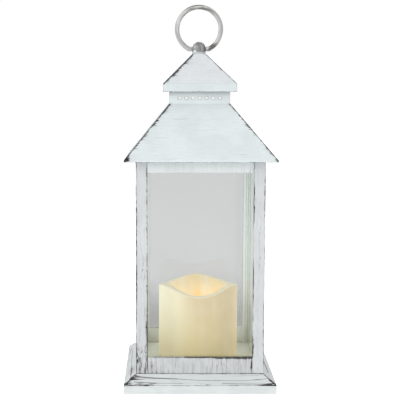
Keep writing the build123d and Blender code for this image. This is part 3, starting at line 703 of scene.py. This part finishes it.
t = Tree("candle_wax")
P = t.P()
x, y, z = t.xyz(P)
rr = t.two_edge(x, y)
inside = t.mul(t.step(rr, R - WALL + 0.5, R - WALL - 0.3), t.m("GREATER_THAN", z, WELL - 1.0))
n1 = t.noise(P, 0.06, 3.0, 0.5)
limb_painted_glow = t.m("POWER", t.m("DIVIDE", t.m("ABSOLUTE", x), R), 3.0)
n2 = t.noise(t.vec(t.mul(x, 0.12), t.mul(y, 0.12), t.mul(z, 0.02)), 1.0, 3.0, 0.55)
n3 = t.noise(t.vec(t.mul(x, 0.10), t.mul(y, 0.10), t.mul(z, 0.02)), 1.0, 2.0, 0.5)
depth = t.step(z, 90.0, WELL + 6.0)
high = t.step(z, 20.0, 88.0)
# painted light: the −x side of the shell is a bright cream and the rest a darker tan, standing in for the light from
# that side; the shell also turns darker and more yellow towards the bottom
right = t.step(x, -27.0, -3.0)
col = t.mix(right, (0.930, 0.892, 0.675), (0.625, 0.508, 0.300))
col = t.mix(t.mul(t.sub(1.0, high), 0.75), col, (0.710, 0.580, 0.255))
col = t.mix(t.mul(t.step(n2, 0.36, 0.64), 0.20), col, (0.770, 0.680, 0.460))
col = t.mix(t.mul(t.step(n1, 0.42, 0.66), 0.18), col, (0.80, 0.72, 0.52))
# painted highlight: the upward-facing top of the rim gets its own grey-cream tone
up = t.step(t.xyz(t.normal())[2], 0.15, 0.70)
lip = t.mul(t.step(rr, R - WALL - 1.0, R - WALL + 0.4), t.m("GREATER_THAN", z, 80.0))
col = t.mix(t.mul(lip, up, 0.9), col, (0.70, 0.68, 0.545))
col = t.mix(t.mul(inside, 0.8), col, t.mix(t.step(n3, 0.40, 0.62), (0.86, 0.84, 0.70), (0.80, 0.72, 0.47)))
# painted light: the shell glows by emission, standing in for the lamp's light on the well's inner wall and through the
# wax; the well glows most deep down, and the outside glows more higher up, on the +x limb and on the −x side
warm = t.m("ADD", t.mul(depth, 0.75), t.mul(t.step(n3, 0.45, 0.62), 0.35), clamp=True)
painted_glow = t.mix(warm, (1.0, 0.93, 0.76), (1.0, 0.60, 0.18))
painted_glow = t.mix(inside, (1.0, 0.80, 0.48), painted_glow)
outer_painted_glow = t.add(t.mul(high, 0.03), t.mul(limb_painted_glow, t.step(x, -30.0, 30.0, 0.0, 0.16)), t.mul(t.step(x, -8.0, -26.0), 0.040), 0.04)
power = t.add(t.mul(inside, t.add(t.mul(depth, 0.20), t.mul(t.step(n3, 0.48, 0.58), 0.05), 0.02)), t.mul(t.sub(1.0, inside), outer_painted_glow))
b = t.principled(Base_Color=col, Roughness=t.add(t.mul(n1, 0.16), 0.42), Subsurface_Weight=0.20,
                 Subsurface_Radius=(0.008, 0.005, 0.0025), Subsurface_Scale=1.0, Specular_IOR_Level=0.40,
                 Emission_Color=painted_glow, Emission_Strength=power, Normal=t.bump(t.add(n1, n2), 0.22, 0.0006))
candle.data.materials.append(t.mat)
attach(candle, "lantern")
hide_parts("candle_shell")


# --------------------------------------------------------------------------
# Small parts
# --------------------------------------------------------------------------
def plain(name, a, b, rough=(0.4, 0.6), scale=0.4, metallic=0.0, bump=(0.2, 0.0002), stretch=None, spec=0.5, wear=None):
    t = Tree(name)
    P = t.P()
    q = t.vm("MULTIPLY", P, stretch) if stretch else P
    n = t.noise(q, scale, 4.0, 0.6)
    n2 = t.noise(P, 0.07, 2.0, 0.5)
    f = t.step(t.add(t.mul(n, 0.6), t.mul(n2, 0.4)), 0.38, 0.62)
    col = t.mix(f, a, b)
    t.principled(Base_Color=col, Metallic=metallic, Roughness=t.add(t.mul(n, rough[1] - rough[0]), rough[0]),
                 Normal=t.bump(n, *bump), Specular_IOR_Level=spec)
    return t.mat


cover = plain("cover_plastic", (0.66, 0.69, 0.70), (0.60, 0.63, 0.64), (0.42, 0.62), 2.2, bump=(0.25, 0.0002))
black = plain("black_plastic", (0.030, 0.030, 0.031), (0.045, 0.045, 0.047), (0.35, 0.55), 1.6)
steel = plain("screw_steel", (0.50, 0.50, 0.51), (0.40, 0.40, 0.41), (0.22, 0.42), 1.1, 1.0, stretch=(1, 1, 4))
nickel = plain("contact_metal", (0.62, 0.61, 0.58), (0.52, 0.51, 0.48), (0.18, 0.35), 1.3, 1.0)
board = plain("board_mask", (0.030, 0.16, 0.07), (0.045, 0.21, 0.09), (0.2, 0.35), 1.5)
chip = plain("component_black", (0.02, 0.02, 0.022), (0.035, 0.035, 0.037), (0.4, 0.6), 2.0)
jacket = plain("cell_jacket", (0.11, 0.15, 0.21), (0.15, 0.20, 0.27), (0.2, 0.35), 0.8, 0.3)
red = plain("lead_red", (0.42, 0.03, 0.03), (0.50, 0.05, 0.04), (0.35, 0.5), 1.0)
blk_lead = plain("lead_black", (0.02, 0.02, 0.02), (0.04, 0.04, 0.04), (0.35, 0.5), 1.0)
hold = plain("lamp_holder", (0.80, 0.66, 0.40), (0.74, 0.58, 0.33), (0.4, 0.6), 1.0)
for mat, names in ((cover, ("bottom_cover", "battery_door", "candle_base_plate")),
                   (black, ("battery_tray", "switch_body", "switch_slider")),
                   (steel, ("board_screws", "cover_screws", "post_base_screws", "post_top_screws", "candle_screws", "knob_screw", "knob_washer")),
                   (nickel, ("contact_springs", "contact_plates")), (board, ("circuit_board",)), (chip, ("board_components",)),
                   (jacket, ("battery_front", "battery_middle", "battery_rear")), (red, ("lamp_leads",)), (blk_lead, ("battery_leads",)),
                   (hold, ("lamp_holder",))):
    for n in names:
        assign(n, mat)

t = Tree("lamp_amber")
x, y, z = t.xyz(t.P())
n = t.noise(t.P(), 0.5, 2.0, 0.5)
l_lo, l_hi = mm_box("lamp")
g = t.step(z, l_lo[2], l_hi[2])
t.principled(Base_Color=t.mix(n, (1.0, 0.62, 0.22), (1.0, 0.72, 0.34)), Roughness=t.add(t.mul(n, 0.1), 0.18),
             Emission_Color=t.mix(g, (1.0, 0.42, 0.10), (1.0, 0.72, 0.34)), Emission_Strength=2.2)
assign("lamp", t.mat)

# --------------------------------------------------------------------------
# Floor, light, camera
# --------------------------------------------------------------------------
floor_me = bpy.data.meshes.new("studio_floor")
S = 6.0
floor_me.from_pydata([(-S, -S, 0), (S, -S, 0), (S, S, 0), (-S, S, 0)], [], [(0, 1, 2, 3)])
floor = bpy.data.objects.new("studio_floor", floor_me)
bpy.context.scene.collection.objects.link(floor)
t = Tree("studio_white")
n = t.noise(t.P(), 0.004, 2.0, 0.5)
ray = t.nt.nodes.new("ShaderNodeLightPath")
t.principled(Base_Color=t.mix(n, (0.60, 0.60, 0.60), (0.62, 0.62, 0.62)), Roughness=0.9, Specular_IOR_Level=0.1,
             Emission_Color=(1.0, 1.0, 1.0), Emission_Strength=t.step(ray.outputs["Is Camera Ray"], 0.0, 1.0, 0.45, 0.85))
bs = [n_ for n_ in t.nt.nodes if n_.bl_idname == "ShaderNodeBsdfPrincipled"][0]
under = t.nt.nodes.new("ShaderNodeNewGeometry")
open_below = t.nt.nodes.new("ShaderNodeBsdfTransparent")
both = t.nt.nodes.new("ShaderNodeMixShader")
t.nt.links.new(under.outputs["Backfacing"], both.inputs[0])
t.nt.links.new(bs.outputs[0], both.inputs[1])
t.nt.links.new(open_below.outputs[0], both.inputs[2])
t.nt.links.new(both.outputs[0], t.out.inputs["Surface"])
floor.data.materials.append(t.mat)

scene = bpy.context.scene
scene.view_settings.view_transform = "Standard"
scene.view_settings.look = "None"
world = bpy.data.worlds.new("studio")
scene.world = world
world.use_nodes = True
wt = world.node_tree
bg = wt.nodes["Background"]
bg.inputs[0].default_value = (1.0, 1.0, 1.0, 1.0)
seen = wt.nodes.new("ShaderNodeLightPath")
lift = wt.nodes.new("ShaderNodeMapRange")
lift.inputs["To Min"].default_value = 0.80
lift.inputs["To Max"].default_value = 1.02
wt.links.new(seen.outputs["Is Camera Ray"], lift.inputs["Value"])
wt.links.new(lift.outputs[0], bg.inputs[1])


def area(name, loc, target, size, power, color=(1, 1, 1)):
    li = bpy.data.lights.new(name, "AREA")
    li.shape = "RECTANGLE"
    li.size, li.size_y = size
    li.energy = power
    li.color = color
    o = bpy.data.objects.new(name, li)
    o.location = loc
    o.rotation_euler = (Vector(target) - Vector(loc)).to_track_quat("-Z", "Y").to_euler()
    scene.collection.objects.link(o)
    return o


area("key", (-1.45, -1.55, 1.15), (0, 0, 0.17), (1.5, 1.3), 15.0, (1.0, 0.998, 0.992))
area("fill", (1.25, -1.75, 0.75), (0, 0, 0.17), (1.4, 1.2), 6.0, (0.985, 0.995, 1.0))

cam_data = bpy.data.cameras.new("camera")
cam_data.sensor_fit = "HORIZONTAL"
cam_data.sensor_width = 36.0
cam_data.lens = 953.5 / 400.0 * 36.0
cam_data.shift_x = (200.0 - 164.5) / 400.0
cam_data.shift_y = 0.0
cam_data.clip_start = 0.01
cam_data.clip_end = 50.0
cam = bpy.data.objects.new("camera", cam_data)
cam.location = (-0.0325, -0.9111, 0.2724)
cam.rotation_euler = (math.radians(90.0 - 6.42), 0.0, 0.0)
scene.collection.objects.link(cam)
scene.camera = cam
